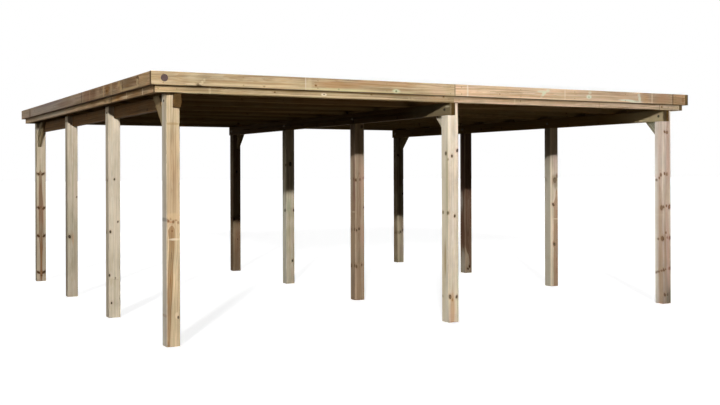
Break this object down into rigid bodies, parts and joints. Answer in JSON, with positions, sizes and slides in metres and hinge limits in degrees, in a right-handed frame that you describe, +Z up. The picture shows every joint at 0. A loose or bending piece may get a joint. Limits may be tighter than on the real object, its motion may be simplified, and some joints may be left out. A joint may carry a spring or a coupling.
{
  "type": "timber double carport",
  "caption": "Open flat-roofed double carport of treated pine: rows of square posts, notched-in purlins with knee boards, cross rafters, a two-step fascia ring and ribbed steel roof sheets.",
  "frame": {"origin": "on the ground under the middle of the roof", "axes": "+X to the right across the front, +Y from the front to the back, +Z up"},
  "size_m": [6.064, 6.148, 2.31],
  "materials": {
    "pine_post": "planed and pressure treated, weathering",
    "pine_frame": "planed and pressure treated",
    "pine_fascia": "planed and pressure treated, weathering",
    "roof_sheet": "coated steel"
  },
  "bodies": {
    "root": {"post_left_1": "pine_post", "post_left_2": "pine_post", "post_left_3": "pine_post", "post_left_4": "pine_post", "post_middle_1": "pine_post", "post_middle_2": "pine_post", "post_middle_3": "pine_post", "post_middle_4": "pine_post", "post_right_1": "pine_post", "post_right_2": "pine_post", "post_right_3": "pine_post", "post_right_4": "pine_post", "purlin_left": "pine_frame", "purlin_middle": "pine_frame", "purlin_right": "pine_frame", "brace_left_front": "pine_frame", "brace_left_rear": "pine_frame", "brace_middle_front": "pine_frame", "brace_middle_rear": "pine_frame", "brace_right_front": "pine_frame", "brace_right_rear": "pine_frame", "rafter_1": "pine_frame", "rafter_2": "pine_frame", "rafter_3": "pine_frame", "rafter_4": "pine_frame", "rafter_5": "pine_frame", "rafter_6": "pine_frame", "rafter_7": "pine_frame", "rafter_8": "pine_frame", "rafter_9": "pine_frame", "fascia_lower_front_left": "pine_fascia", "fascia_lower_front_right": "pine_fascia", "fascia_lower_rear": "pine_fascia", "fascia_lower_left": "pine_fascia", "fascia_lower_right": "pine_fascia", "fascia_upper_front_left": "pine_fascia", "fascia_upper_front_middle": "pine_fascia", "fascia_upper_front_filler": "pine_fascia", "fascia_upper_rear": "pine_fascia", "fascia_upper_left": "pine_fascia", "fascia_upper_right": "pine_fascia", "roof_sheet_1": "roof_sheet", "roof_sheet_2": "roof_sheet", "roof_sheet_3": "roof_sheet", "roof_sheet_4": "roof_sheet", "roof_sheet_5": "roof_sheet", "roof_sheet_6": "roof_sheet"}
  },
  "joints": []
}
